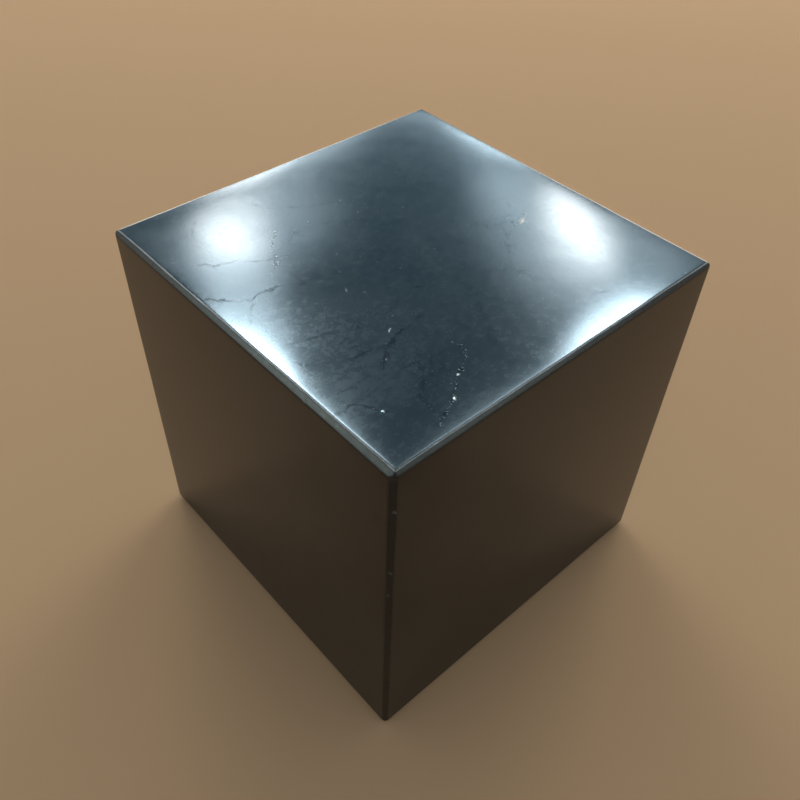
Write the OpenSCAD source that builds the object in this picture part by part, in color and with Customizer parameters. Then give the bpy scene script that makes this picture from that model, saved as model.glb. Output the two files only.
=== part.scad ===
// Polished stone cube: one solid block, sawn square on all six sides, with a
// narrow flat bevel ground at 45 degrees along each of its twelve edges.
// The origin is the middle of the bottom face, and +Z points up.

/* [Block] */
// Length of each side, measured over the polished faces
cube_side = 80; // [20:1:200]

/* [Ground edges] */
// Leg of the bevel on the four upright edges
upright_bevel = 0.9; // [0.2:0.1:6]
// Leg of the bevel on the four edges round the top face
top_bevel = 0.9; // [0.2:0.1:6]
// Leg of the bevel on the four edges round the bottom face
base_bevel = 0.9; // [0.2:0.1:6]

/* [Hidden] */
half_side = cube_side / 2;
// Near-black stone with a slight blue cast
stone_colour = [0.055, 0.058, 0.062];

// Square outline standing on the X axis and centred on Y. Its two lower corners
// are cut off by low_cut and its two upper corners by high_cut, at 45 degrees.
module bevelled_square(low_cut, high_cut) {
    polygon([
        [-half_side + low_cut, 0],
        [half_side - low_cut, 0],
        [half_side, low_cut],
        [half_side, cube_side - high_cut],
        [half_side - high_cut, cube_side],
        [-half_side + high_cut, cube_side],
        [-half_side, cube_side - high_cut],
        [-half_side, low_cut]
    ]);
}

// The block's outline from above, carried up its full height. Its four corners
// give the bevels of the upright edges.
module plan_pass() {
    translate([0, -half_side, 0])
        linear_extrude(height = cube_side)
            bevelled_square(upright_bevel, upright_bevel);
}

// The block's outline from the front, carried through its full depth. Its
// corners give the bevels of the top and bottom edges that run front to back.
module front_pass() {
    rotate([90, 0, 0])
        linear_extrude(height = cube_side, center = true)
            bevelled_square(base_bevel, top_bevel);
}

// The whole block is what the three passes have in common: the third is the
// front pass turned a quarter turn. Where three bevels meet at a corner they
// run into one blunt point.
module stone_cube() {
    color(stone_colour)
        intersection() {
            plan_pass();
            front_pass();
            rotate([0, 0, 90])
                front_pass();
        }
}

stone_cube();
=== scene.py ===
# %% [markdown]
# # A polished cube of black carbon stone
# The real thing is one block of rock. It is sawn square, its six faces are ground flat and
# polished until they mirror the room, and a narrow bevel is ground by hand along each edge so
# that the brittle stone doesn't chip. Nothing is fitted to it and nothing moves.
#
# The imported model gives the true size. This lesson builds the finish of the stone round it:
# faces that fall away a little where the polishing pad ran over the edge, bevels whose width
# wanders as a hand's does, small nicks, hairline fissures, bright mineral flecks and a polish
# that is mirror-like on the faces and satin on the bevels.

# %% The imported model
import math

import bpy
import numpy as np
from mathutils import Matrix, Vector


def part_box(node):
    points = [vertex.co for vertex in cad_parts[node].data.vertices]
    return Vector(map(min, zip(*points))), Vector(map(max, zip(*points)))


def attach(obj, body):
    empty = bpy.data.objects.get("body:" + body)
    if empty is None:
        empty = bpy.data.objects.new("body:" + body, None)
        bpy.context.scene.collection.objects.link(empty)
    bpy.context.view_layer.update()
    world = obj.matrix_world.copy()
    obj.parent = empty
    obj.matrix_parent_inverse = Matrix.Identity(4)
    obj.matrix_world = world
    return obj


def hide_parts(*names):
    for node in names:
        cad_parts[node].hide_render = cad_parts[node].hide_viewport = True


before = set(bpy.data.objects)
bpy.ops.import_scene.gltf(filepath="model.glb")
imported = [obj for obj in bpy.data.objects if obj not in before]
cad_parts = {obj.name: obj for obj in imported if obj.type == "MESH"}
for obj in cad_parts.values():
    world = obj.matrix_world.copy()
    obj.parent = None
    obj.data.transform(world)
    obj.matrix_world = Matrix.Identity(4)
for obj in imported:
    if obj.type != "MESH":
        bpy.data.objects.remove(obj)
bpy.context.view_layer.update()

# %% [markdown]
# ## Sizes
# A hand-worked block is easiest to think of in millimetres, measured from its own centre, so
# every size below is in millimetres and is turned into metres only when the mesh is made.
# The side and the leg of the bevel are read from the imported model, so the finish always fits it.

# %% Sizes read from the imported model
MM = 0.001
low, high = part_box("stone_cube")
side = (high.z - low.z) / MM
half = side / 2
corners = np.array([v.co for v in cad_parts["stone_cube"].data.vertices]) / MM
TOUCHING = 0.01
on_top = corners[:, 2] > corners[:, 2].max() - TOUCHING
bevel_leg = half - np.abs(corners[on_top, :2]).max()
flat_half = half - bevel_leg
bevel_half = bevel_leg / math.sqrt(2)
print(f"side {side:.2f} mm, bevel leg {bevel_leg:.2f} mm, flat of each face {2 * flat_half:.2f} mm")

# %% [markdown]
# ## Where the mesh lines run
# A polished block shows its shape in two places only: at the arrises, which are the lines where
# a face meets a bevel, and at a few nicks. An even grid would spend its points on the flat
# middle. Here the gap between lines is a function of the place: very small at the arris, small
# at a nick, wide elsewhere. One line is set each time the running total of 1 / gap grows by one.

# %% Graded lines
COARSE_GAP = 0.93
ARRIS_GAP = 0.05
NICK_GAP = 0.22
ARRIS_REACH = 1.6
NICK_REACH = 1.3
NICK_PLACES = {0: [14.0], 1: [-19.0], 2: [12.5, 31.0]}
TALLY_POINTS = 40001


def graded_lines(nick_places):
    """Places of the mesh lines across a face, unrolled over half of each bevel, in mm.

    gap(u) = coarse gap, less a bell-shaped dip at each arris and at each nick.
    The lines are where the integral of 1 / gap reaches equal steps.
    """
    reach = flat_half + bevel_half
    u = np.linspace(-reach, reach, TALLY_POINTS)
    to_arris = np.abs(np.abs(u) - flat_half)
    gap = COARSE_GAP - (COARSE_GAP - ARRIS_GAP) * np.exp(-((to_arris / ARRIS_REACH) ** 2))
    for place in nick_places:
        dip = (COARSE_GAP - NICK_GAP) * np.exp(-(((u - place) / NICK_REACH) ** 2))
        gap = np.minimum(gap, COARSE_GAP - dip)
    total = np.concatenate([[0.0], np.cumsum((1 / gap[1:] + 1 / gap[:-1]) / 2 * np.diff(u))])
    steps = int(round(total[-1]))
    return np.interp(np.linspace(0, total[-1], steps + 1), total, u)


LINES = [graded_lines(NICK_PLACES[axis]) for axis in range(3)]
print("mesh lines along X, Y and Z:", [len(lines) for lines in LINES])

# %% [markdown]
# ## The plain bevelled block as six patches
# Each patch covers one face and the nearer half of its four bevels, so that neighbouring
# patches meet along the middle of a bevel and three of them meet at each corner. Seen from its
# own side a patch is a height field: the face is level, and beyond the arris the height drops
# as fast as the place moves out, which is a bevel at 45 degrees.

# %% Six patches


def folded(lines):
    """Splits unrolled places into (place across the face, drop below the face).

    Up to the arris the place is the unrolled one and the drop is nothing. Beyond it both grow by
    the unrolled distance divided by the square root of two.
    """
    beyond = np.clip(np.abs(lines) - flat_half, 0, None) / math.sqrt(2)
    across = np.sign(lines) * (np.minimum(np.abs(lines), flat_half) + beyond)
    return across, beyond


def face_patch(axis, sign):
    """Points of one patch as a grid: height = half the side - the larger of the two drops."""
    first, second = (axis + 1) % 3, (axis + 2) % 3
    across_1, drop_1 = folded(LINES[first])
    across_2, drop_2 = folded(LINES[second])
    points = np.zeros((len(across_1), len(across_2), 3))
    points[..., first] = across_1[:, None]
    points[..., second] = across_2[None, :]
    points[..., axis] = sign * (half - np.maximum(drop_1[:, None], drop_2[None, :]))
    return points


def patch_quads(rows, columns, sign):
    """Corner numbers of each cell of a grid, in the order that makes it face outwards."""
    number = np.arange(rows * columns).reshape(rows, columns)
    ring = [number[:-1, :-1], number[1:, :-1], number[1:, 1:], number[:-1, 1:]]
    return np.stack(ring[::int(sign)], axis=-1).reshape(-1, 4)


PATCHES = [(axis, sign) for axis in range(3) for sign in (1, -1)]
patch_points = [face_patch(axis, sign) for axis, sign in PATCHES]
print("points in the six patches:", sum(grid.shape[0] * grid.shape[1] for grid in patch_points))

# %% [markdown]
# ## The true surface: a smooth meeting of planes
# The finished stone is what eighteen planes leave of the block: six polished faces and twelve
# ground bevels. For a point, each plane gives a distance, negative inside. The largest of them
# tells how far the point is outside the stone. A smooth maximum in place of a sharp one rounds
# every arris over a width of about 0.4 mm, which takes a twentieth of a millimetre off its line,
# as polishing does. It never lies outside any of the planes, so the stone can't outgrow the packed
# model's box. A nick is a small ball taken away: inside it the distance to the ball's skin is one
# more value in the same smooth maximum.

# %% Planes of the faces
ARRIS_SHARPNESS = 13.0
NICK_SHARPNESS = 90.0
EDGE_FALL = 0.06
EDGE_FALL_POWER = 20

AXES = np.eye(3)
face_normals = np.array([sign * AXES[axis] for axis, sign in PATCHES])


def face_distances(points):
    """Distance from each polished face: n . p - half + fall, for the six faces.

    The fall is the edge fall times a high power of how far out the point is, over both
    directions in the face, so the face is flat but for its last few millimetres.
    """
    out = (np.abs(points) / half) ** EDGE_FALL_POWER
    rows = []
    for axis, sign in PATCHES:
        fall = EDGE_FALL * (out.sum(axis=1) - out[:, axis])
        rows.append(sign * points[:, axis] - half + fall)
    return np.array(rows)


print(f"{len(face_normals)} face planes, each falling {EDGE_FALL} mm at its rim")

# %% [markdown]
# ## Bevels ground by hand
# On the real block no bevel keeps its width. Each of the twelve has its own leg, which grows or
# shrinks along the edge and wanders a few hundredths of a millimetre. The three edges that meet
# at the front corner are given outright: the left one widens towards that corner, the right
# one is narrower, and the upright one is widest at the top. The rest are drawn from a seed.

# %% Planes of the bevels
FRONT_LEGS = {(-1, 0, 1): (0.98, -0.12), (0, -1, 1): (0.80, -0.03), (-1, -1, 0): (1.00, 0.10)}
LEG_SPREAD = 0.09
GROWTH_SPREAD = 0.06
WANDER = 0.025
WANDER_PERIODS = (17, 29)
rng = np.random.default_rng(7)


def bevel_table():
    """One row for each bevel: (direction, axis it runs along, leg, growth, period, phase)."""
    rows = []
    for run in range(3):
        first, second = (run + 1) % 3, (run + 2) % 3
        for sign_1 in (-1, 1):
            for sign_2 in (-1, 1):
                direction = [0, 0, 0]
                direction[first] = sign_1
                direction[second] = sign_2
                leg = bevel_leg * (1 + LEG_SPREAD * rng.uniform(-1, 1))
                growth = GROWTH_SPREAD * rng.uniform(-1, 1)
                period = rng.uniform(*WANDER_PERIODS)
                phase = rng.uniform(0, 2 * math.pi)
                leg, growth = FRONT_LEGS.get(tuple(direction), (leg, growth))
                rows.append((direction, run, leg, growth, period, phase))
    return rows


BEVELS = bevel_table()
bevel_normals = np.array([row[0] for row in BEVELS]) / math.sqrt(2)


def bevel_distances(points):
    """Distance from each bevel: n . p - (side - leg) / sqrt(2).

    The leg along the edge is its middle value + growth x place + a slow wave.
    """
    rows = []
    for (direction, run, leg, growth, period, phase), normal in zip(BEVELS, bevel_normals):
        place = points[:, run]
        wave = WANDER * np.sin(2 * math.pi * place / period + phase)
        here = leg + growth * place / half + wave
        rows.append(points @ normal - (side - here) / math.sqrt(2))
    return np.array(rows)


for direction, run, leg, growth, period, phase in BEVELS:
    print(f"bevel {direction}: leg {leg:.2f} mm, from {leg - growth:.2f} to {leg + growth:.2f} mm")

# %% [markdown]
# ## Nicks
# The stone is brittle, and its edges pick up small shell-shaped chips. Each is given as a point
# on an edge, in mm from the block's centre, with its depth and its half width. A ball is the
# simplest tool that leaves such a hollow.

# %% Nicks
NEAR_AN_EDGE = 0.5
NICKS = [
    ((-39.98, -19.0, 39.05), 0.07, 0.70),
    ((-39.20, -39.84, 31.0), 0.16, 0.60),
    ((-39.45, -39.6, 15.0), 0.10, 0.40),
    ((-39.57, -39.41, 8.0), 0.12, 0.40),
    ((14.0, 39.95, 39.1), 0.15, 0.60),
    ((39.2, -18.4, 39.95), 0.12, 0.50),
    ((39.9, 39.3, 12.0), 0.15, 0.55),
    ((14.6, -39.9, -39.2), 0.12, 0.50),
]


def nick_distances(points):
    """Depth inside each nick's ball, and the way out of the stone there.

    The ball's radius follows from the nick's half width w and depth d, as for any cap:
    r = (w^2 + d^2) / 2d. Its centre lies outside the stone, r - d from the nick's point.
    """
    values = []
    ways = []
    for place, depth, width in NICKS:
        place = np.array(place)
        outward = np.where(np.abs(place) > flat_half - NEAR_AN_EDGE, np.sign(place), 0.0)
        outward = outward / np.linalg.norm(outward)
        radius = (width**2 + depth**2) / (2 * depth)
        centre = place + outward * (radius - depth)
        away = points - centre
        distance = np.linalg.norm(away, axis=1)
        values.append(radius - distance)
        ways.append(-away / distance[:, None])
    return np.array(values), np.array(ways)


print(f"{len(NICKS)} nicks, up to {max(depth for _, depth, _ in NICKS)} mm deep")

# %% [markdown]
# ## Laying the patches onto that surface
# Every point of the plain block starts close to the true surface. Newton's step takes it there:
# it moves against the slope by value / slope. Four steps leave an error far below a thousandth
# of a millimetre. Points that two patches share start at the same place and so end at the same
# place, which keeps the seams closed.

# %% Newton's steps
NEWTON_STEPS = 4
WELD_DIGITS = 5


def smooth_max(values, slopes, sharpness):
    """log(sum(exp(k v))) / k for k = sharpness, and the slopes blended by the same weights."""
    largest = values.max(axis=0)
    weights = np.exp(sharpness * (values - largest))
    total = weights.sum(axis=0)
    slope = (weights[..., None] * slopes).sum(axis=0) / total[:, None]
    return largest + np.log(total) / sharpness, slope


def stone_surface(points):
    """How far each point is outside the finished stone, in mm, and the slope of that there."""
    planes = np.vstack([face_distances(points), bevel_distances(points)])
    normals = np.vstack([face_normals, bevel_normals])[:, None, :]
    body, body_slope = smooth_max(planes, normals, ARRIS_SHARPNESS)
    balls, ball_slopes = nick_distances(points)
    values = np.vstack([body[None], balls])
    slopes = np.concatenate([body_slope[None], ball_slopes])
    return smooth_max(values, slopes, NICK_SHARPNESS)


def laid_on(points):
    """Newton's steps: p - value x slope / |slope|^2, repeated."""
    for _ in range(NEWTON_STEPS):
        value, slope = stone_surface(points)
        points = points - slope * (value / (slope**2).sum(axis=1))[:, None]
    return points


flat = np.vstack([grid.reshape(-1, 3) for grid in patch_points])
welded, first_seen, welded_number = np.unique(
    np.round(flat, WELD_DIGITS), axis=0, return_index=True, return_inverse=True
)
welded_number = welded_number.reshape(-1)
stone = laid_on(flat[first_seen])
left_over = stone_surface(stone)[0]
print(f"welded points: {len(stone)}, at most {np.abs(left_over).max():.6f} mm from the true surface")

# %% [markdown]
# ## The mesh
# The welded points and the quads of the six patches make one closed mesh. The place of the block
# is in its points, which stand on the floor, so the object itself stays at the origin.

# %% The mesh
quads = []
offset = 0
for (axis, sign), grid in zip(PATCHES, patch_points):
    quads.append(patch_quads(grid.shape[0], grid.shape[1], sign) + offset)
    offset += grid.shape[0] * grid.shape[1]
patch_numbers = np.vstack(quads)
faces = welded_number[patch_numbers]

above_ground = stone + np.array([0.0, 0.0, half])
mesh = bpy.data.meshes.new("stone")
mesh.from_pydata((above_ground * MM).tolist(), [], faces.tolist())
mesh.polygons.foreach_set("use_smooth", np.ones(len(faces), bool))
mesh.update()
stone_piece = bpy.data.objects.new("stone_cube_finished", mesh)
bpy.context.scene.collection.objects.link(stone_piece)
print(f"{len(faces)} quads, {2 * len(faces)} triangles, closed: {len(mesh.edges) == 2 * len(faces)}")

# %% [markdown]
# ## Distance from the arris
# The finish changes at the arris: mirror polish inside, satin grinding outside, and a line of
# rubbed stone between them, whose pale colour is partly wear and partly a painted highlight.
# So every point carries its distance from the nearest arris, in mm, positive on a face and
# negative on a bevel. It comes straight from the two largest plane distances: on a face the
# bevel's plane is sin(45 degrees) x distance away. A second value is the place along the
# nearest bevel, which the grinding marks on the bevels need.

# %% Arris distance as an attribute
CHIP_RIM = 0.06
arris = face_distances(stone).max(axis=0) - bevel_distances(stone).max(axis=0)
arris = arris / math.sin(math.radians(45))


def give_attribute(name, kind, values):
    """Stores one value or one vector for each point of the mesh."""
    field = "vector" if kind == "FLOAT_VECTOR" else "value"
    layer = mesh.attributes.new(name, kind, "POINT")
    layer.data.foreach_set(field, np.ascontiguousarray(values, np.float32).ravel())


give_attribute("arris", "FLOAT", arris)
run_axis = np.array([row[1] for row in BEVELS])[bevel_distances(stone).argmax(axis=0)]
give_attribute("along", "FLOAT", stone[np.arange(len(stone)), run_axis])
in_a_nick = nick_distances(stone)[0].max(axis=0)
give_attribute("chipped", "FLOAT", np.clip(in_a_nick / CHIP_RIM + 1, 0, 1))
print(f"arris distance runs from {arris.min():.2f} mm on a bevel to {arris.max():.1f} mm on a face")

# %% [markdown]
# ## Fissures that can be pointed at
# This stone is an old mud rich in carbon, full of healed cracks. On the polished top they show
# as wandering lines: dark where the crack is open, pale where a white mineral has filled it.
# The larger ones are drawn as a few points each, in mm from the middle of the top face.
# Seen from the front corner, x runs off to the right and y to the left. A smooth curve goes
# through the points, and each mesh point then stores its signed distance from the nearest curve,
# which a shader can turn into a line of any width. Lines that cross are kept in different sets.

# %% Drawn fissures
# Each: set, tone from -1 (dark, open) to 1 (pale, filled), strength, points in mm.
FISSURES = [
    (0, -0.9, 1.0, [(-39.6, 12.0), (-39, 11.3), (-36.7, 9.2), (-34.6, 7.1), (-32.1, 5.8), (-31.2, 6.2),
                    (-28.7, 5.8), (-25, 5.4)]),
    (1, -0.5, 0.7, [(-31.7, 5.7), (-33.8, 3.3), (-35.8, 0.8), (-37, -0.6)]),
    (1, -0.6, 0.6, [(-34.2, 20.8), (-31.7, 18.2), (-27.9, 16.7), (-26.2, 15), (-23.3, 13.3), (-20, 12.5)]),
    (0, 0.4, 0.65, [(-23.6, 10.6), (-22.1, 12.5), (-19.2, 17.5), (-15.4, 20.8)]),
    (2, 0.4, 0.65, [(-25.4, 9.2), (-22.9, 10.8), (-19.2, 12.5)]),
    (2, -0.4, 0.5, [(-17.9, 15), (-15, 16.3), (-11.3, 16.7), (-6.7, 15.8), (-3.8, 13.8), (-1.7, 12.9)]),
    (0, 0.0, 0.6, [(-15, 31.7), (-13.3, 27.5), (-10, 25), (-6.7, 22.9), (-3.3, 21.3), (-0.8, 20.4)]),
    (0, 0.0, 0.5, [(-30.8, 26.3), (-29.2, 29.2), (-26.3, 32.5)]),
    (0, -0.3, 0.4, [(-22.9, 9.2), (-22.5, 5.8), (-22.1, 1.7)]),
    (0, -0.6, 0.8, [(-36.3, -7.5), (-32.9, -8.3), (-29.6, -9.2), (-26.3, -10.4)]),
    (1, -0.5, 0.9, [(-36.3, -11.3), (-35, -13.8), (-32.9, -15), (-30.8, -16.3)]),
    (0, -0.6, 0.85, [(-30, -16), (-28.3, -17.1), (-25, -17.5), (-22.1, -18.3), (-18.3, -17.5), (-15, -16.7),
                    (-11.7, -16.3)]),
    (1, -0.2, 0.8, [(-22.1, -18.3), (-24.6, -20.8), (-27.5, -22.5), (-29.2, -24.2)]),
    (0, -0.2, 1.0, [(-39, -25.4), (-35, -25.4), (-33.8, -27.1), (-32.5, -29.2), (-31.7, -30.4)]),
    (1, 0.45, 0.9, [(-28.3, -38.3), (-27.1, -36.3), (-24.6, -35.4), (-22.1, -34.2), (-20, -32.5),
                   (-17.9, -30.8), (-15, -29.6), (-13.3, -27.9), (-12.9, -25.8), (-13.2, -23.3)]),
    (2, -0.7, 0.7, [(8, -18.8), (9.8, -19), (11.7, -18.8)]),
    (0, -0.3, 0.4, [(14.2, -28.3), (15.8, -31.3), (18.3, -33.3)]),
    (2, 0.0, 0.5, [(-20.5, -22.5), (-21.5, -25.6), (-23.2, -28.2), (-26.6, -31.1), (-26.4, -33.2),
                    (-28.2, -37.6)]),
    (0, -0.1, 0.5, [(-26.5, -25), (-23.5, -23.9), (-20, -25), (-16.5, -25.2), (-14, -26)]),
    (1, -0.1, 0.45, [(-25.5, -28.8), (-22.5, -28.9), (-19.5, -28.2), (-17.2, -27)]),
]
FISSURE_SETS = 3
print(len(FISSURES), "fissures drawn on the top face, in", FISSURE_SETS, "sets")

# %% Curves through the points, and distances from them
CURVE_STEP = 0.2
CURVE_FINENESS = 24
FEWEST_POINTS = 8


def smooth_curve(points):
    """A Catmull-Rom curve through the points, as points a step apart.

    Between b and c, with neighbours a and d:
    (2b + (c - a)t + (2a - 5b + 4c - d)t^2 + (3b - a - 3c + d)t^3) / 2.
    """
    p = np.array(points, float)
    p = np.vstack([2 * p[0] - p[1], p, 2 * p[-1] - p[-2]])
    t = np.linspace(0, 1, CURVE_FINENESS, endpoint=False)[:, None, None]
    a, b, c, d = p[:-3], p[1:-2], p[2:-1], p[3:]
    run = 2 * b + (c - a) * t + (2 * a - 5 * b + 4 * c - d) * t**2 + (3 * b - a - 3 * c + d) * t**3
    run = run / 2
    run = np.vstack([run.transpose(1, 0, 2).reshape(-1, 2), p[-2:-1]])
    length = np.concatenate([[0], np.cumsum(np.linalg.norm(np.diff(run, axis=0), axis=1))])
    places = np.linspace(0, length[-1], max(FEWEST_POINTS, int(length[-1] / CURVE_STEP)))
    return np.stack([np.interp(places, length, run[:, i]) for i in range(2)], axis=1), places


def smooth_step(value):
    """3t^2 - 2t^3 for t held between 0 and 1."""
    t = np.clip(value, 0, 1)
    return t * t * (3 - 2 * t)


def measured_from(curve, places, spots):
    """Signed distance of each spot from a curve, and how far it is from the curve's ends.

    The sign is that of the cross product of the curve's direction and the way to the spot.
    """
    way = np.gradient(curve, axis=0)
    way /= np.linalg.norm(way, axis=1)[:, None]
    gap = spots[:, None, :] - curve[None, :, :]
    nearest = (gap**2).sum(axis=2).argmin(axis=1)
    gap = gap[np.arange(len(spots)), nearest]
    way = way[nearest]
    sign = np.where(way[:, 0] * gap[:, 1] - way[:, 1] * gap[:, 0] < 0, -1.0, 1.0)
    from_ends = np.minimum(places[nearest], places[-1] - places[nearest])
    return sign * np.linalg.norm(gap, axis=1), from_ends


# %% Fissures as attributes
FADE_AT_ENDS = 1.6
BAND = 1.8
BAND_FADE = 1.6
BETWEEN_TWO = 1.5
FAR_OFF = 9.0
TOP_DEPTH = 0.5

top_spots = np.flatnonzero(stone[:, 2] > half - TOP_DEPTH)
spots = stone[top_spots, :2]


def fissure_set(number):
    """For each mesh point: (signed distance, strength, tone) of the nearest fissure of one set.

    The strength fades out at a fissure's ends, away from it, and half way to the next one.
    """
    chosen = [row for row in FISSURES if row[0] == number]
    found = []
    for _, tone, strength, points in chosen:
        distance, from_ends = measured_from(*smooth_curve(points), spots)
        strength = strength * smooth_step(from_ends / FADE_AT_ENDS)
        found.append((distance, strength, np.full(len(spots), tone)))
    distance, strength, tone = np.array(found).transpose(1, 0, 2)
    near = np.abs(distance)
    order = np.argsort(near, axis=0)
    row = order[0]
    column = np.arange(len(spots))
    best = near[row, column]
    margin = near[order[1], column] - best
    weight = smooth_step(margin / BETWEEN_TWO) * (1 - smooth_step((best - BAND) / BAND_FADE))
    values = np.zeros((len(stone), 3))
    values[:, 0] = FAR_OFF
    values[top_spots, 0] = distance[row, column]
    values[top_spots, 1] = strength[row, column] * weight
    values[top_spots, 2] = tone[row, column]
    return values


for number in range(FISSURE_SETS):
    give_attribute(f"fissure_{number}", "FLOAT_VECTOR", fissure_set(number))
print("attributes on the mesh:", sorted(name for name in mesh.attributes.keys() if "fissure" in name))

# %% [markdown]
# ## Mineral flecks
# Tiny grains of pyrite and quartz stop the polish and flash pale or yellowish. The ones that
# catch the eye are placed one by one: place, length, width, turn in degrees and brightness. Each
# mesh point stores where it lies in the nearest fleck's own frame, in units of its half length
# and half width, so that a length of 1 is the fleck's rim.

# %% Listed flecks
FLECKS = [
    (-12.3, 6.7, 0.5, 0.4, 20, 0.45), (-9.6, 3.3, 0.5, 0.3, 70, 0.45), (-15.4, 2.1, 0.6, 0.4, 110, 0.3),
    (-17.9, -2.7, 1.4, 0.5, 60, 0.55), (-15.8, -5.3, 0.8, 0.5, 100, 0.5),
    (-6.3, -4.0, 0.5, 0.4, 30, 0.4), (-18.8, -9.2, 0.6, 0.3, 80, 0.3), (-19.2, -15.7, 1.7, 0.4, 35, 0.9),
    (-17.3, -19.2, 1.8, 1.0, 30, 0.12), (-18.6, -24.8, 0.6, 0.4, 10, 0.4),
    (-0.4, 20.4, 0.7, 0.5, 90, 0.4), (-0.4, 15.0, 0.8, 0.4, 75, 0.45), (7.5, 10.7, 0.5, 0.4, 0, 0.5),
    (-10.0, 18.5, 0.7, 0.4, 40, 0.35), (22.3, -7.8, 2.3, 1.3, 24, 1.0), (24.4, -6.6, 1.5, 0.6, 38, 0.75),
    (20.4, -8.1, 1.3, 0.6, -20, 0.5), (32.9, -38.6, 0.5, 0.4, 0, 0.5),
    (-32.5, -29.2, 0.9, 0.5, 130, 0.85), (-22.3, -34.3, 1.0, 0.6, 60, 0.9),
    (-18.1, -30.8, 0.8, 0.5, 20, 0.8), (-35.4, -13.4, 0.5, 0.4, 0, 0.4),
    (-24.4, -20.7, 0.8, 0.4, 40, 0.6), (-22.8, -26.0, 0.6, 0.4, 70, 0.35),
    (-13.3, -24.6, 0.6, 0.4, 80, 0.5), (-20.7, -27.6, 0.6, 0.4, 140, 0.4),
    (-24.9, -28.4, 0.6, 0.4, 20, 0.3), (-12.9, -10.4, 0.5, 0.3, 20, 0.2),
]
FLECK_MARGIN = 0.6


def fleck_frames():
    """For each mesh point: (along / half length, across / half width, brightness) of its fleck."""
    table = np.array(FLECKS)
    gap = spots[:, None, :] - table[None, :, :2]
    reach = np.linalg.norm(gap, axis=2)
    order = np.argsort(reach, axis=1)
    row = order[:, 0]
    column = np.arange(len(spots))
    margin = reach[column, order[:, 1]] - reach[column, row]
    turn = np.radians(table[row, 4])
    dx, dy = gap[column, row].T
    values = np.zeros((len(stone), 3))
    values[:, 0] = FAR_OFF
    values[top_spots, 0] = (dx * np.cos(turn) + dy * np.sin(turn)) / (table[row, 2] / 2)
    values[top_spots, 1] = (dy * np.cos(turn) - dx * np.sin(turn)) / (table[row, 3] / 2)
    values[top_spots, 2] = table[row, 5] * smooth_step(margin / FLECK_MARGIN)
    return values


give_attribute("fleck", "FLOAT_VECTOR", fleck_frames())
print(len(FLECKS), "flecks placed on the top face")

# %% [markdown]
# ## A flat map of the surface
# A cube unfolds into six squares. Laying the six patches side by side in a map of three by two
# cells, each stretched to fill its cell, keeps every part of the finish at the same detail.

# %% Unfolded map
CELL_MARGIN = 0.008


def patch_map(cell):
    """Place of each point of a patch in the map: cell corner + margin + share across the cell."""
    axis = PATCHES[cell][0]
    share_1, share_2 = [
        (line - line[0]) / (line[-1] - line[0]) for line in (LINES[(axis + 1) % 3], LINES[(axis + 2) % 3])
    ]
    width, height = 1 / 3, 1 / 2
    column, row = cell % 3, cell // 3
    u = column * width + CELL_MARGIN + share_1 * (width - 2 * CELL_MARGIN)
    v = row * height + CELL_MARGIN + share_2 * (height - 2 * CELL_MARGIN)
    return np.stack(np.meshgrid(u, v, indexing="ij"), axis=-1).reshape(-1, 2)


flat_map = np.vstack([patch_map(cell) for cell in range(6)])
layer = mesh.uv_layers.new(name="OFBake")
layer.uv.foreach_set("vector", flat_map[patch_numbers.reshape(-1)].astype(np.float32).ravel())
print("map laid out:", flat_map.min(axis=0).round(3), "to", flat_map.max(axis=0).round(3))

# %% [markdown]
# ## Building materials in small steps
# A material is a tree of nodes. A few helpers keep the trees short to read. One adds a node and
# fills its inputs, and the others add a sum, a soft ramp, a noise or a mix of two colours. An
# input takes either a plain number or the output of another node. An effect that both finishes
# use is a group, built once.

# %% Node helpers


def add_node(tree, kind, inputs=None, **settings):
    """Adds a node, sets its settings, and fills the named or numbered inputs."""
    made = tree.nodes.new(kind)
    for name, value in settings.items():
        setattr(made, name, value)
    for key, value in (inputs or {}).items():
        if isinstance(value, bpy.types.NodeSocket):
            tree.links.new(value, made.inputs[key])
        else:
            made.inputs[key].default_value = value
    return made


def sum_of(tree, operation, a, b=0.0, c=0.0, clamp=False):
    """One Math node: ADD, MULTIPLY, POWER and so on of its inputs."""
    made = add_node(tree, "ShaderNodeMath", {0: a, 1: b, 2: c}, operation=operation, use_clamp=clamp)
    return made.outputs[0]


def vector_of(tree, operation, a, b=(0.0, 0.0, 0.0), output=0):
    """One Vector Math node: ADD, SUBTRACT, LENGTH and so on of its inputs."""
    return add_node(tree, "ShaderNodeVectorMath", {0: a, 1: b}, operation=operation).outputs[output]


def ramp_of(tree, value, start, end, low=0.0, high=1.0):
    """Smoothly from low to high as the value goes from start to end."""
    inputs = {"Value": value, "From Min": start, "From Max": end, "To Min": low, "To Max": high}
    made = add_node(tree, "ShaderNodeMapRange", inputs, interpolation_type="SMOOTHSTEP")
    return made.outputs["Result"]


def noise_of(tree, place, scale, detail=2.0, roughness=0.5, distortion=0.0):
    """A noise of about scale bumps to the millimetre, from 0 to 1."""
    inputs = {"Vector": place, "Scale": scale, "Detail": detail, "Roughness": roughness}
    inputs["Distortion"] = distortion
    return add_node(tree, "ShaderNodeTexNoise", inputs).outputs


def blend_of(tree, share, first, second):
    """A mix of two colours."""
    return add_node(tree, "ShaderNodeMix", {0: share, 6: first, 7: second}, data_type="RGBA").outputs[2]


def new_group(name, inputs, outputs):
    """An empty shader group with named sockets. Returns its tree, its inputs and its output node."""
    tree = bpy.data.node_groups.new(name, "ShaderNodeTree")
    for socket, kind in inputs.items():
        tree.interface.new_socket(socket, in_out="INPUT", socket_type=kind)
    for socket, kind in outputs.items():
        tree.interface.new_socket(socket, in_out="OUTPUT", socket_type=kind)
    return tree, tree.nodes.new("NodeGroupInput").outputs, tree.nodes.new("NodeGroupOutput")


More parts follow.
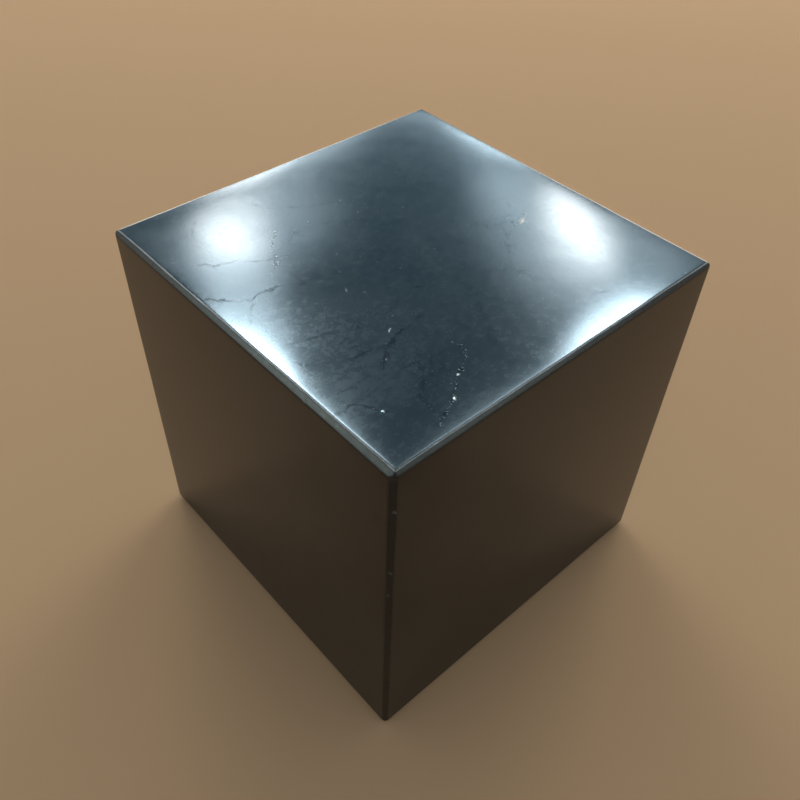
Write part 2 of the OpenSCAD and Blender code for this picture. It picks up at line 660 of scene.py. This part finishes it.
def made_group(tree):
    """Prints what a finished group holds, and returns it."""
    print(f"group {tree.name}: {len(tree.nodes)} nodes")
    return tree


VALUE, VECTOR, COLOUR = "NodeSocketFloat", "NodeSocketVector", "NodeSocketColor"

# %% [markdown]
# ## Cloudy depth
# Polished carbon stone isn't an even black. Bands of slightly greyer mud drift through it,
# a centimetre or two across, with a finer mottle inside them. A noise with a little swirl
# gives the bands and a second one the mottle. A third noise, stretched one way, is the scuffing
# of cloth and hands on the polish. Both finishes of the stone use this group.

# %% Group: clouds in the stone
tree, given, out = new_group(
    "stone clouds", {"Place": VECTOR}, {"Cloud": VALUE, "Mottle": VALUE, "Scuff": VALUE}
)
bands = noise_of(tree, given["Place"], 0.05, detail=4, roughness=0.6, distortion=0.8)[0]
specks = noise_of(tree, given["Place"], 0.7, detail=4, roughness=0.72)[0]
tree.links.new(ramp_of(tree, bands, 0.36, 0.68), out.inputs["Cloud"])
tree.links.new(ramp_of(tree, specks, 0.35, 0.7), out.inputs["Mottle"])
turn = {"Vector": given["Place"], "Rotation": (0.0, 0.0, math.radians(-25)), "Scale": (0.32, 0.8, 0.8)}
stretched = add_node(tree, "ShaderNodeMapping", turn).outputs[0]
streaks = noise_of(tree, stretched, 1.0, detail=5, roughness=0.65, distortion=0.4)[0]
tree.links.new(ramp_of(tree, streaks, 0.36, 0.8), out.inputs["Scuff"])
clouds = made_group(tree)

# %% [markdown]
# ## A fissure from its distance
# A set's attribute says how far the nearest drawn curve is. A crack in stone never follows a
# smooth curve, so two noises push that distance aside, one slow and one fine, and a third
# opens and closes the line along its way. What is left is a line of the wanted width. Grains
# of pale mineral sit in it, few in an open crack and many in a filled one.

# %% Group: fissure line
tree, given, out = new_group(
    "fissure line",
    {"Line": VECTOR, "Place": VECTOR, "Width": VALUE},
    {"Dark": VALUE, "Pale": VALUE},
)
parts = add_node(tree, "ShaderNodeSeparateXYZ", {0: given["Line"]}).outputs
slow = noise_of(tree, given["Place"], 0.55, detail=4, roughness=0.6)[0]
slow = sum_of(tree, "MULTIPLY_ADD", slow, 2.6, -1.3)
fine = sum_of(tree, "MULTIPLY_ADD", noise_of(tree, given["Place"], 3.0, detail=3)[0], 0.6, -0.3)
distance = sum_of(tree, "ABSOLUTE", sum_of(tree, "ADD", parts["X"], sum_of(tree, "ADD", slow, fine)))
line = ramp_of(tree, distance, 0.0, given["Width"], 1.0, 0.0)
opening = ramp_of(tree, noise_of(tree, given["Place"], 0.5, detail=3)[0], 0.34, 0.62, 0.15, 1.0)
line = sum_of(tree, "MULTIPLY", sum_of(tree, "MULTIPLY", line, opening), parts["Y"])
grains = sum_of(tree, "MULTIPLY_ADD", noise_of(tree, given["Place"], 2.6, detail=2)[0], 6.0, -4.0)
pale = ramp_of(tree, sum_of(tree, "ADD", grains, parts["Z"]), -0.3, 0.3)
tree.links.new(sum_of(tree, "MULTIPLY", line, pale), out.inputs["Pale"])
tree.links.new(sum_of(tree, "MULTIPLY", line, sum_of(tree, "SUBTRACT", 1.0, pale)), out.inputs["Dark"])
fissure_line = made_group(tree)

# %% [markdown]
# ## Natural hairlines
# Away from the large fissures the whole block is crossed by a faint net of hairlines, which
# shows on every face because it runs through the stone. The borders of Voronoi cells in three
# dimensions make such a net. Their place is pushed about by a noise so that no border stays
# straight, and a slow noise leaves most of the net out.

# %% Group: hairline net
tree, given, out = new_group(
    "hairline net", {"Place": VECTOR, "Spacing": VALUE, "Width": VALUE}, {"Hairline": VALUE}
)
push = noise_of(tree, given["Place"], 0.35, detail=4, roughness=0.6)[1]
push = vector_of(tree, "SUBTRACT", push, (0.5, 0.5, 0.5))
push = add_node(tree, "ShaderNodeVectorMath", {0: push, "Scale": 5.0}, operation="SCALE").outputs[0]
place = vector_of(tree, "ADD", given["Place"], push)
cells = add_node(
    tree,
    "ShaderNodeTexVoronoi",
    {"Vector": place, "Scale": sum_of(tree, "DIVIDE", 1.0, given["Spacing"])},
    feature="DISTANCE_TO_EDGE",
)
distance = sum_of(tree, "MULTIPLY", cells.outputs["Distance"], given["Spacing"])
line = ramp_of(tree, distance, 0.0, given["Width"], 1.0, 0.0)
patches = ramp_of(tree, noise_of(tree, given["Place"], 0.07, detail=2)[0], 0.47, 0.66)
broken = ramp_of(tree, noise_of(tree, given["Place"], 0.6, detail=2)[0], 0.35, 0.6)
line = sum_of(tree, "MULTIPLY", line, sum_of(tree, "MULTIPLY", patches, broken))
tree.links.new(line, out.inputs["Hairline"])
hairline_net = made_group(tree)

# %% [markdown]
# ## Flecks
# The listed flecks come as a place in the fleck's own frame, whose length is 1 at its rim.
# A noise makes that rim ragged. Between them lie far smaller grains, one here and one there:
# a Voronoi pattern gives each small cell one point, and a random value keeps a few of them.

# %% Group: mineral flecks
tree, given, out = new_group(
    "mineral flecks", {"Fleck": VECTOR, "Place": VECTOR}, {"Fleck": VALUE, "Colour": COLOUR}
)
parts = add_node(tree, "ShaderNodeSeparateXYZ", {0: given["Fleck"]}).outputs
flat_place = add_node(tree, "ShaderNodeCombineXYZ", {0: parts["X"], 1: parts["Y"]}).outputs[0]
reach = vector_of(tree, "LENGTH", flat_place, output="Value")
ragged = sum_of(tree, "MULTIPLY_ADD", noise_of(tree, given["Place"], 5.0, detail=3)[0], 4.6, -2.0)
large = ramp_of(tree, sum_of(tree, "ADD", reach, ragged), 0.3, 1.1, 1.0, 0.0)
large = sum_of(tree, "MULTIPLY", large, sum_of(tree, "POWER", parts["Z"], 2.4))
grains = add_node(tree, "ShaderNodeTexVoronoi", {"Vector": given["Place"], "Scale": 0.42}).outputs
shown = add_node(tree, "ShaderNodeSeparateXYZ", {0: grains["Color"]}).outputs
small = ramp_of(tree, grains["Distance"], 0.02, 0.07, 1.0, 0.0)
small = sum_of(tree, "MULTIPLY", small, ramp_of(tree, shown["X"], 0.9, 1.0, 0.0, 0.06))
hue = ramp_of(tree, noise_of(tree, given["Place"], 0.3)[0], 0.45, 0.62)
tree.links.new(sum_of(tree, "MAXIMUM", large, small), out.inputs["Fleck"])
tree.links.new(blend_of(tree, hue, (0.90, 0.94, 0.92, 1), (0.92, 0.87, 0.72, 1)), out.inputs["Colour"])
mineral_flecks = made_group(tree)

# %% [markdown]
# ## Rubbed arrises, with a painted highlight
# The line where the top face ends is where a block gets touched and wiped. It is rubbed dull
# and a little pale, and that pale line is also a painted highlight for the bright thread the
# rounded arris mirrors. Its width follows a noise: a broken thread in one place, a third of a
# millimetre in another. Lower down the line is all but gone and the edge stays clean and dark.
# A nick is bare broken stone and about half as pale; another noise tears its rim.

# %% Group: rubbed arris and painted highlight
RUB_AND_HIGHLIGHT_DEPTH = 0.5
tree, given, out = new_group(
    "rubbed arris and painted highlight", {"Arris": VALUE, "Chip": VALUE, "Place": VECTOR, "Width": VALUE}, {"Rub and highlight": VALUE}
)
wander = noise_of(tree, given["Place"], 0.25, detail=4, roughness=0.6)[0]
reach = sum_of(tree, "MULTIPLY", ramp_of(tree, wander, 0.3, 0.75, 0.35, 1.0), given["Width"])
rub_and_highlight = ramp_of(tree, sum_of(tree, "ABSOLUTE", given["Arris"]), 0.0, reach, 1.0, 0.0)
grit = ramp_of(tree, noise_of(tree, given["Place"], 4.0, detail=2)[0], 0.3, 0.6, 0.55, 1.0)
height = add_node(tree, "ShaderNodeSeparateXYZ", {0: given["Place"]}).outputs["Z"]
# The pale line, worn stone and painted highlight in one, is kept to the top arrises.
rub_and_highlight = sum_of(tree, "MULTIPLY", rub_and_highlight, ramp_of(tree, height, side - RUB_AND_HIGHLIGHT_DEPTH, side - 0.2, 0.03, 1.0))
broken = sum_of(tree, "MULTIPLY_ADD", noise_of(tree, given["Place"], 2.4, detail=3)[0], 3.0, -1.6)
chip = ramp_of(tree, sum_of(tree, "ADD", given["Chip"], broken), 0.4, 0.9, 0.0, 0.5)
rub_and_highlight = sum_of(tree, "MAXIMUM", rub_and_highlight, chip)
tree.links.new(sum_of(tree, "MULTIPLY", rub_and_highlight, grit), out.inputs["Rub and highlight"])
arris_rub_and_highlight = made_group(tree)

# %% [markdown]
# ## Grinding marks
# The bevels were drawn over a flat lap by hand, so fine lines run across them, at a slight
# slant. Along the bevel they change within a tenth of a millimetre, across it hardly at all.
# The place along the bevel and the distance from the arris are two coordinates that follow
# it round the block, and a stretched noise on those two is the mark.

# %% Group: grinding marks
tree, given, out = new_group(
    "grinding marks", {"Along": VALUE, "Arris": VALUE}, {"Height": VALUE, "Streak": VALUE}
)
slanted = sum_of(tree, "MULTIPLY_ADD", given["Arris"], 0.35, given["Along"])
across = sum_of(tree, "MULTIPLY", given["Arris"], 0.12)
place = add_node(tree, "ShaderNodeCombineXYZ", {0: slanted, 1: across}).outputs[0]
fine = noise_of(tree, place, 7.0, detail=2, roughness=0.6)[0]
broad = noise_of(tree, place, 0.9, detail=3, roughness=0.6)[0]
tree.links.new(sum_of(tree, "MULTIPLY_ADD", broad, 2.0, fine), out.inputs["Height"])
tree.links.new(ramp_of(tree, broad, 0.35, 0.65), out.inputs["Streak"])
grinding_marks = made_group(tree)

# %% [markdown]
# ## The polished face
# The polish is what makes this stone: a dark body that gives back hardly any light of its own,
# under a surface that mirrors the room. So the base colour is close to black, and almost
# everything seen is the reflection. What tells it from glass is how the mirror is spoilt: it is
# a little hazier over the clouds, wavy by a few hundredths of a millimetre from the pad, grained
# by its grit, and gone in the open cracks. A rough groove would catch light and turn pale, but a
# real crack swallows it. A black metal gives nothing back either, so the cracks are fed to
# Metallic. The index of refraction is chosen a little under that of glass, so that the
# sides mirror the floor as weakly as they should.

# %% Material helpers
STONE_IOR = 1.42


def new_material(name):
    """A material with only its output. Returns the material and its tree."""
    material = bpy.data.materials.new(name)
    material.use_nodes = True
    material.node_tree.nodes.clear()
    return material, material.node_tree


def place_group(tree, group, inputs):
    """Places a shader group and returns its outputs."""
    return add_node(tree, "ShaderNodeGroup", inputs, node_tree=group).outputs


def millimetres(tree):
    """The place on the stone, in millimetres."""
    place = add_node(tree, "ShaderNodeTexCoord").outputs["Object"]
    return add_node(tree, "ShaderNodeVectorMath", {0: place, "Scale": 1000.0}, operation="SCALE").outputs[0]


def attribute(tree, name, output="Fac"):
    """One of the values stored with the mesh."""
    return add_node(tree, "ShaderNodeAttribute", attribute_name=name).outputs[output]


def laid_over(tree, colour, share, mask, over):
    """The colour with another laid over it where the mask is, at most by the share."""
    return blend_of(tree, sum_of(tree, "MULTIPLY", mask, share), colour, (*over, 1))


def edge_rub_and_highlight(tree, place, width):
    """The mask of rubbed and chipped edges, as wide as asked, which is also a painted highlight along the
    top arrises.
    """
    inputs = {"Arris": attribute(tree, "arris"), "Chip": attribute(tree, "chipped")}
    inputs["Place"] = place
    inputs["Width"] = width
    return place_group(tree, arris_rub_and_highlight, inputs)["Rub and highlight"]


def finish_material(tree, colour, roughness, height, dullness=0.0):
    """The Principled shader with its bump, whose height is in millimetres.

    Dullness is fed to Metallic. A black metal has no mirror at all, as the dark of an open crack.
    """
    normal = add_node(tree, "ShaderNodeBump", {"Height": height, "Distance": MM, "Strength": 1.0})
    inputs = {"Base Color": colour, "Roughness": roughness, "Metallic": dullness}
    inputs["Normal"] = normal.outputs[0]
    inputs["IOR"] = STONE_IOR
    shader = add_node(tree, "ShaderNodeBsdfPrincipled", inputs)
    output = tree.nodes.new("ShaderNodeOutputMaterial")
    tree.links.new(shader.outputs[0], output.inputs["Surface"])


# %% Material: polished face
FACE_BLACK, FACE_CLOUD = (0.0025, 0.0028, 0.0032, 1), (0.0120, 0.0124, 0.0124, 1)
FACE_MOTTLE, FACE_SCUFF = (0.025, 0.027, 0.028), (0.034, 0.038, 0.040)
CRACK_BLACK, VEIN_PALE = (0.004, 0.004, 0.004, 1), (0.42, 0.45, 0.45, 1)
# Pale of the rubbed arris: worn stone, and a painted highlight along the top edge.
FACE_RUB_AND_HIGHLIGHT = (0.38, 0.43, 0.46)
POLISH = 0.105
PAD_WAVE, GRIT_GRAIN, VEIN_RIDGE = 0.035, 0.0020, 0.006

polished_face, tree = new_material("polished_face")
place = millimetres(tree)
cloud = place_group(tree, clouds, {"Place": place})
rub_and_highlight = edge_rub_and_highlight(tree, place, 0.34)
fleck = place_group(tree, mineral_flecks, {"Fleck": attribute(tree, "fleck", "Vector"), "Place": place})
wide = place_group(tree, hairline_net, {"Place": place, "Spacing": 17.0, "Width": 0.26})["Hairline"]
close = place_group(tree, hairline_net, {"Place": place, "Spacing": 6.0, "Width": 0.2})["Hairline"]
hairline = sum_of(tree, "MAXIMUM", wide, sum_of(tree, "MULTIPLY", close, 0.5))
dark, pale = 0.0, 0.0
for number in range(FISSURE_SETS):
    line = attribute(tree, f"fissure_{number}", "Vector")
    found = place_group(tree, fissure_line, {"Line": line, "Place": place, "Width": 0.42})
    dark = sum_of(tree, "MAXIMUM", found["Dark"], dark)
    pale = sum_of(tree, "MAXIMUM", found["Pale"], pale)

colour = blend_of(tree, cloud["Cloud"], FACE_BLACK, FACE_CLOUD)
colour = laid_over(tree, colour, 0.5, cloud["Mottle"], FACE_MOTTLE)
colour = laid_over(tree, colour, 0.3, cloud["Scuff"], FACE_SCUFF)
colour = blend_of(tree, sum_of(tree, "MAXIMUM", dark, hairline), colour, CRACK_BLACK)
colour = blend_of(tree, pale, colour, VEIN_PALE)
colour = blend_of(tree, fleck["Fleck"], colour, fleck["Colour"])
# The pale rubbed arris laid over the face: wear, and a painted highlight along the top edge.
colour = laid_over(tree, colour, 0.8, rub_and_highlight, FACE_RUB_AND_HIGHLIGHT)

roughness = sum_of(tree, "MULTIPLY_ADD", cloud["Cloud"], 0.025, POLISH)
roughness = sum_of(tree, "MULTIPLY_ADD", cloud["Mottle"], 0.02, roughness)
roughness = sum_of(tree, "MULTIPLY_ADD", cloud["Scuff"], 0.015, roughness)
roughness = sum_of(tree, "MULTIPLY_ADD", pale, 0.2, roughness)
roughness = sum_of(tree, "MULTIPLY_ADD", fleck["Fleck"], 0.3, roughness)
roughness = sum_of(tree, "MULTIPLY_ADD", rub_and_highlight, 0.25, roughness, clamp=True)

wave = sum_of(tree, "MULTIPLY", noise_of(tree, place, 0.085, detail=1)[0], PAD_WAVE)
grain = sum_of(tree, "MULTIPLY_ADD", noise_of(tree, place, 1.9, detail=2)[0], GRIT_GRAIN, wave)
ridge = sum_of(tree, "MULTIPLY_ADD", sum_of(tree, "ADD", pale, fleck["Fleck"]), VEIN_RIDGE, grain)
dark = sum_of(tree, "MULTIPLY", dark, 0.9)
dullness = sum_of(tree, "MAXIMUM", dark, sum_of(tree, "MULTIPLY", hairline, 0.5))
finish_material(tree, colour, roughness, ridge, dullness)
print("polished face:", len(tree.nodes), "nodes")

# %% [markdown]
# ## The ground bevel
# Nobody polishes a bevel a millimetre wide. It keeps the satin of the last grinding, so it
# shows as a soft grey ribbon round the mirror. It is the same stone with the same clouds and
# the same pale rubbed line, partly wear and partly a painted highlight, but with the marks of
# the lap and more than twice the roughness. Hands and cloths reach the upper bevels, so pale
# streaks and pits of wear are strong on those and faint on the rest.

# %% Material: ground bevel
BEVEL_BLACK, BEVEL_CLOUD = (0.0045, 0.0050, 0.0050, 1), (0.0085, 0.0090, 0.0085, 1)
# The last colour is the pale rubbed arris: worn stone, and a painted highlight along the top edge.
BEVEL_STREAK, BEVEL_PIT, BEVEL_RUB_AND_HIGHLIGHT = (0.024, 0.027, 0.024), (0.065, 0.072, 0.066), (0.30, 0.35, 0.36)
SATIN = 0.26
LAP_GROOVE = 0.0045

ground_bevel, tree = new_material("ground_bevel")
place = millimetres(tree)
cloud = place_group(tree, clouds, {"Place": place})
rub_and_highlight = edge_rub_and_highlight(tree, place, 0.3)
lap = {"Along": attribute(tree, "along"), "Arris": attribute(tree, "arris")}
marks = place_group(tree, grinding_marks, lap)
height = add_node(tree, "ShaderNodeSeparateXYZ", {0: place}).outputs["Z"]
handled = ramp_of(tree, height, side - 2.5, side - 1, 0.12, 1.0)
pits = ramp_of(tree, noise_of(tree, place, 2.3, detail=3, roughness=0.7)[0], 0.48, 0.7)

colour = blend_of(tree, cloud["Cloud"], BEVEL_BLACK, BEVEL_CLOUD)
colour = laid_over(tree, colour, sum_of(tree, "MULTIPLY", handled, 0.5), marks["Streak"], BEVEL_STREAK)
colour = laid_over(tree, colour, sum_of(tree, "MULTIPLY", handled, 0.45), pits, BEVEL_PIT)
# The pale rubbed arris on the bevel: wear, and a painted highlight along the top edge.
colour = laid_over(tree, colour, 0.7, rub_and_highlight, BEVEL_RUB_AND_HIGHLIGHT)

roughness = sum_of(tree, "MULTIPLY_ADD", marks["Streak"], 0.06, SATIN)
roughness = sum_of(tree, "MULTIPLY_ADD", pits, 0.08, roughness)
roughness = sum_of(tree, "MULTIPLY_ADD", cloud["Mottle"], 0.04, roughness)
roughness = sum_of(tree, "MULTIPLY_ADD", rub_and_highlight, 0.12, roughness, clamp=True)
finish_material(tree, colour, roughness, sum_of(tree, "MULTIPLY", marks["Height"], LAP_GROOVE))
print("ground bevel:", len(tree.nodes), "nodes")

# %% [markdown]
# ## Finishes and the imported model
# A quad whose middle lies outside the arris is bevel, and every other one is face. The finished
# stone then takes the place of the plain one and rides on the one body there is.

# %% Each quad gets its finish
on_bevel = arris[faces].mean(axis=1) < 0
mesh.materials.append(polished_face)
mesh.materials.append(ground_bevel)
mesh.polygons.foreach_set("material_index", on_bevel.astype(np.int32))
mesh.update()
print(int(on_bevel.sum()), "quads are ground bevel,", int((~on_bevel).sum()), "are polished face")

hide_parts("stone_cube")
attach(stone_piece, "root")

# %% [markdown]
# ## Camera
# The block is looked at over its front corner, from about 45 degrees up, with a lens close to
# the one of a telephone. The camera aims near the block's centre, then turns by small angles
# so that the block sits a little left of the middle with a slight lean.

# %% Camera
AZIMUTH, ELEVATION, LEAN = -43.914, 44.832, -2.528
DISTANCE = 2.3415 * side
SIDE_AIM, UP_AIM = -0.279, 0.250
LENS, SENSOR = 38.1537, 36.0
NEAREST_SEEN = 0.01

azimuth, elevation = math.radians(AZIMUTH), math.radians(ELEVATION)
back = Vector((
    math.sin(azimuth) * math.cos(elevation),
    -math.cos(azimuth) * math.cos(elevation),
    math.sin(elevation),
))
right = (-back).cross(Vector((0, 0, 1))).normalized()
up = right.cross(-back)
camera_place = Vector((0, 0, half)) + back * DISTANCE
turn = Matrix((right, up, back)).transposed()
for angle, axis in ((SIDE_AIM, "Y"), (UP_AIM, "X"), (LEAN, "Z")):
    turn = turn @ Matrix.Rotation(math.radians(-angle), 3, axis)

camera_data = bpy.data.cameras.new("camera")
camera_data.sensor_width = SENSOR
camera_data.lens = LENS
camera_data.clip_start = NEAREST_SEEN
camera = bpy.data.objects.new("camera", camera_data)
camera.matrix_world = Matrix.Translation(camera_place * MM) @ turn.to_4x4()
bpy.context.scene.collection.objects.link(camera)
bpy.context.scene.camera = camera
print(f"camera {DISTANCE:.0f} mm from the centre, lens {camera_data.lens:.1f} mm")

# %% [markdown]
# ## Floor
# A plain pale board of a warm tone, dead matt, so that it takes the block's soft shadow and no
# gleams. Its end would draw a hard line across every low view. So from half a metre out it turns
# into the colour of the room's far walls. That backdrop is there only for the camera, for
# mirrors and for glass, and throws no light on the block.

# %% Floor
FLOOR_REACH = 9.0
BACKDROP_START, BACKDROP_FULL = 0.5, 2.5
ROOM_COLOUR = (0.60, 0.59, 0.57)
BOARD_COLOUR = (0.60, 0.43, 0.27)
floor_mesh = bpy.data.meshes.new("floor")
square = [(-1, -1), (1, -1), (1, 1), (-1, 1)]
floor_mesh.from_pydata([(x * FLOOR_REACH, y * FLOOR_REACH, 0) for x, y in square], [], [(0, 1, 2, 3)])
floor = bpy.data.objects.new("floor", floor_mesh)
bpy.context.scene.collection.objects.link(floor)
floor_finish, tree = new_material("pale_floor")
board = add_node(tree, "ShaderNodeBsdfPrincipled", {"Base Color": (*BOARD_COLOUR, 1), "Roughness": 0.9})
board.inputs["Specular IOR Level"].default_value = 0.0
spot = add_node(tree, "ShaderNodeTexCoord").outputs["Object"]
away = vector_of(tree, "LENGTH", spot, output="Value")
rays = add_node(tree, "ShaderNodeLightPath").outputs
seen = sum_of(tree, "MAXIMUM", rays["Is Camera Ray"], rays["Is Glossy Ray"])
seen = sum_of(tree, "MAXIMUM", seen, rays["Is Transmission Ray"])
backdrop = add_node(tree, "ShaderNodeEmission", {"Color": (*ROOM_COLOUR, 1), "Strength": seen})
share = ramp_of(tree, away, BACKDROP_START, BACKDROP_FULL)
joined = add_node(tree, "ShaderNodeMixShader", {0: share, 1: board.outputs[0], 2: backdrop.outputs[0]})
tree.links.new(joined.outputs[0], tree.nodes.new("ShaderNodeOutputMaterial").inputs["Surface"])
floor_mesh.materials.append(floor_finish)
print(f"floor {2 * FLOOR_REACH:.0f} m across, all backdrop from {BACKDROP_FULL} m out")

# %% [markdown]
# ## Light
# A mirror-black stone shows its lamps, not itself, so the lamps are its finish. Softboxes hang
# level above it. The mirror image of a level softbox in the level top face is the softbox's
# own shape, only smaller, so each one is worked out backwards: from the gleam wanted on the
# face, in mm, straight through the mirrored camera and out to the height of the lamps.
# A softbox is brightest in its middle and fades to nothing at its rim, like a real one. These
# lamps are seen in the polish and light nothing else, so they can be as bright as a window
# without bleaching the stone or the floor.

# %% Lamp helpers
LAMP_HEIGHT = 600.0
LAMP_STEP = 4.0


def soft_lamp(name, shape, size_x, size_y, radiance, colour, core, power):
    """An area lamp in mm, with full radiance out to its core and less and less to its rim.

    The radiance falls as a smooth step raised to a power: 1 for a softbox, more for a haze.
    An area lamp of power P and area A has radiance P / (pi A).
    """
    lamp = bpy.data.lights.new(name, "AREA")
    lamp.shape = shape
    lamp.size, lamp.size_y = size_x * MM, size_y * MM
    area = lamp.size * lamp.size_y * (math.pi / 4 if shape == "ELLIPSE" else 1)
    lamp.energy = radiance * math.pi * area
    lamp.color = colour
    lamp.use_nodes = True
    tree = lamp.node_tree
    place = add_node(tree, "ShaderNodeTexCoord").outputs["UV"]
    offset = vector_of(tree, "SUBTRACT", place, (0.5, 0.5, 0))
    reach = vector_of(tree, "LENGTH", offset, output="Value")
    fall = sum_of(tree, "POWER", ramp_of(tree, reach, core / 2, 0.5, 1.0, 0.0), power)
    tree.links.new(fall, tree.nodes["Emission"].inputs["Strength"])
    made = bpy.data.objects.new(name, lamp)
    bpy.context.scene.collection.objects.link(made)
    return made


def gleam(number, name, x, y, reach_x, reach_y, turned, radiance, colour, core=0.2, power=1.0):
    """A level softbox whose mirror image on the top face is centred at x, y with those reaches.

    Each hangs a step higher than the last: of two lamps at one height only one would be seen.
    It is seen in the polish and lights nothing else, so the room's light stays plain and even.
    """
    eye = np.array(camera_place)
    eye_height = eye[2] - side
    lamp_height = LAMP_HEIGHT + LAMP_STEP * number
    grow = (eye_height + lamp_height) / eye_height
    centre = eye[:2] + grow * (np.array([x, y]) - eye[:2])
    size_x, size_y = 2 * reach_x * grow, 2 * reach_y * grow
    made = soft_lamp(name, "ELLIPSE", size_x, size_y, radiance, colour, core, power)
    made.location = (centre[0] * MM, centre[1] * MM, (side + lamp_height) * MM)
    made.visible_diffuse = False
    made.rotation_euler = (0, 0, math.radians(turned))


def panel(name, towards, distance, width, height, radiance, colour, only_mirrored):
    """A softbox in a given direction from the block, facing it. Sizes are in mm.

    One that is only mirrored shows in the stone's surface and lights nothing.
    """
    made = soft_lamp(name, "RECTANGLE", width, height, radiance, colour, 0.1, 1.0)
    way = Vector(towards).normalized()
    made.location = (Vector((0, 0, half)) + way * distance) * MM
    made.rotation_euler = way.to_track_quat("Z", "Y").to_euler()
    made.visible_diffuse = not only_mirrored


# %% [markdown]
# ## Gleams
# Two windows and a bright band along each side of the room make the gleams. Each is a strong
# middle with a wide weak haze round it, because the polish is slightly hazy itself. The four
# named after the sky hang far past the edges of the face. Only the rounding of an arris leans
# far enough to mirror them, and without them it would be a black line.

# %% Gleams on the top face
COLD, COOL, WARM = (0.66, 0.88, 1.0), (0.92, 0.98, 1.0), (1.0, 0.93, 0.84)
# Name, x, y, half size along x and y in mm, turn in degrees, radiance, power of the fall, colour.
GLEAMS = [
    ("window_left", -23.8, 24.8, 10, 11.5, -35, 22.5, 1, COOL),
    ("window_left_haze", -18.5, 23, 31, 21, 10, 5.4, 2, COLD),
    ("window_left_low", -32, 11, 11, 25, -30, 9.2, 1, COLD),
    ("glow_left_edge", -43.2, -8.5, 8.2, 13, -10, 89, 1, COLD),
    ("glow_left_long", -48.5, -23, 11, 34, -5, 38, 2, COLD),
    ("glow_front_edge", 7.5, -44, 17, 10, 15, 61, 1, COLD),
    ("glow_front_haze", 26, -30, 40, 28, 10, 3, 2, COLD),
    ("glow_near_corner", -21, -48.5, 40, 11, 4, 10.5, 2, COLD),
    ("window_right", 29.5, -15.6, 8, 21.5, -31, 22.5, 1, COOL),
    ("window_right_arm", 27, 3, 6, 11, -5, 5, 1, COLD),
    ("window_right_haze", 25, -13, 26, 45, -30, 5.6, 3, COLD),
    ("glow_right_edge", 44.5, 20, 6.5, 18, 13, 24, 1, COLD),
    ("glow_back_edge", -6, 45.5, 17, 4, 0, 33, 1, COOL),
    ("glow_back_haze", 3, 48, 42, 16, -8, 10, 2, COLD),
    ("glow_far_corner", 43, 40, 19, 28, 0, 4, 2, COLD),
    ("sky_past_left", -96, -8, 42, 60, 0, 8, 1, COOL),
    ("sky_past_front", -8, -96, 60, 42, 0, 5, 1, COOL),
    ("sky_past_right", 96, 25, 42, 60, 0, 5, 1, COOL),
    ("sky_past_back", 25, 96, 60, 42, 0, 5, 1, COOL),
]
for number, (name, x, y, reach_x, reach_y, turned, radiance, power, colour) in enumerate(GLEAMS):
    gleam(number, name, x, y, reach_x, reach_y, turned, radiance, colour, power=power)
gleam(len(GLEAMS), "open_sky", 0, 0, 110, 110, 0, 0.64, (0.04, 0.58, 0.97), core=0.5)
print(len(GLEAMS) + 1, "softboxes hung", LAMP_HEIGHT, "mm above the face")

# %% [markdown]
# ## Panels and keys
# A bevel leans 45 degrees, so it mirrors the room half way up, where a panel on each side gives
# it its tone. Two wide keys behind the block, together with the room, light the stone and the
# floor evenly, at a level where a colour comes out about as it is written.

# %% Panels and keys
# Name, direction from the block, distance, width and height in mm, radiance, colour, only mirrored.
PANELS = [
    ("left_back_panel", (-0.71, 0.53, 0.46), 900, 560, 460, 6.8, (0.80, 1.0, 0.94), True),
    ("right_front_panel", (0.49, -0.71, 0.51), 900, 500, 420, 3.6, (0.78, 1.0, 0.97), True),
    ("key_back_left", (0.35, 0.90, 0.30), 1500, 1500, 500, 15.0, WARM, False),
    ("key_back_right", (0.90, 0.30, 0.30), 1500, 1500, 500, 15.0, WARM, False),
]
for row in PANELS:
    panel(*row)
print(len(PANELS), "panels and keys stand round the block")

# %% [markdown]
# ## Room
# The room itself is a plain grey, palest at the horizon and deeper overhead, as in a studio
# with pale walls and a darker ceiling. The height of the direction of view gives the share.

# %% Room
CEILING_SHARE = 0.55
world = bpy.data.worlds.new("room")
world.use_nodes = True
tree = world.node_tree
way = add_node(tree, "ShaderNodeTexCoord").outputs["Generated"]
height = add_node(tree, "ShaderNodeSeparateXYZ", {0: way}).outputs["Z"]
share = ramp_of(tree, height, 0.0, 0.5, 1.0, CEILING_SHARE)
tree.links.new(share, tree.nodes["Background"].inputs["Strength"])
tree.nodes["Background"].inputs["Color"].default_value = (*ROOM_COLOUR, 1)
bpy.context.scene.world = world
bpy.context.scene.view_settings.view_transform = "Standard"
print(f"room colour {ROOM_COLOUR}, down to {CEILING_SHARE} of it overhead")
